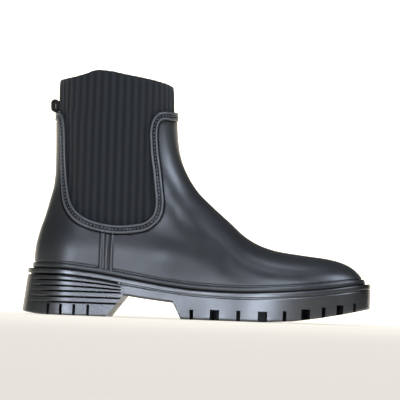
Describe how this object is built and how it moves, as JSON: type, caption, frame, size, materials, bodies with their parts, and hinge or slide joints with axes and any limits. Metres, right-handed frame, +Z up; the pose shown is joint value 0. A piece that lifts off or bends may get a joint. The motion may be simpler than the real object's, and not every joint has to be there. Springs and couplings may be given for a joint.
{
  "type": "rubber ankle boot",
  "caption": "Pull-on rubber ankle boot with a lugged sole and heel, side cut-outs filled by a rib-knit sock collar, and a small webbing loop at the back.",
  "frame": {"origin": "on the ground, under the middle of the boot's bounding box", "axes": "+X from heel to toe, +Y from the outer side to the inner side of the foot, +Z up"},
  "size_m": [0.2838, 0.1034, 0.1993],
  "materials": {
    "sole_rubber": "satin moulded",
    "upper_rubber": "satin moulded",
    "knit": "matte rib knit",
    "insole_cloth": "matte",
    "webbing": "matte woven"
  },
  "bodies": {
    "root": {"outsole": "sole_rubber", "upper": "upper_rubber", "knit_sock": "knit", "insole": "insole_cloth", "pull_loop": "webbing"}
  },
  "joints": []
}
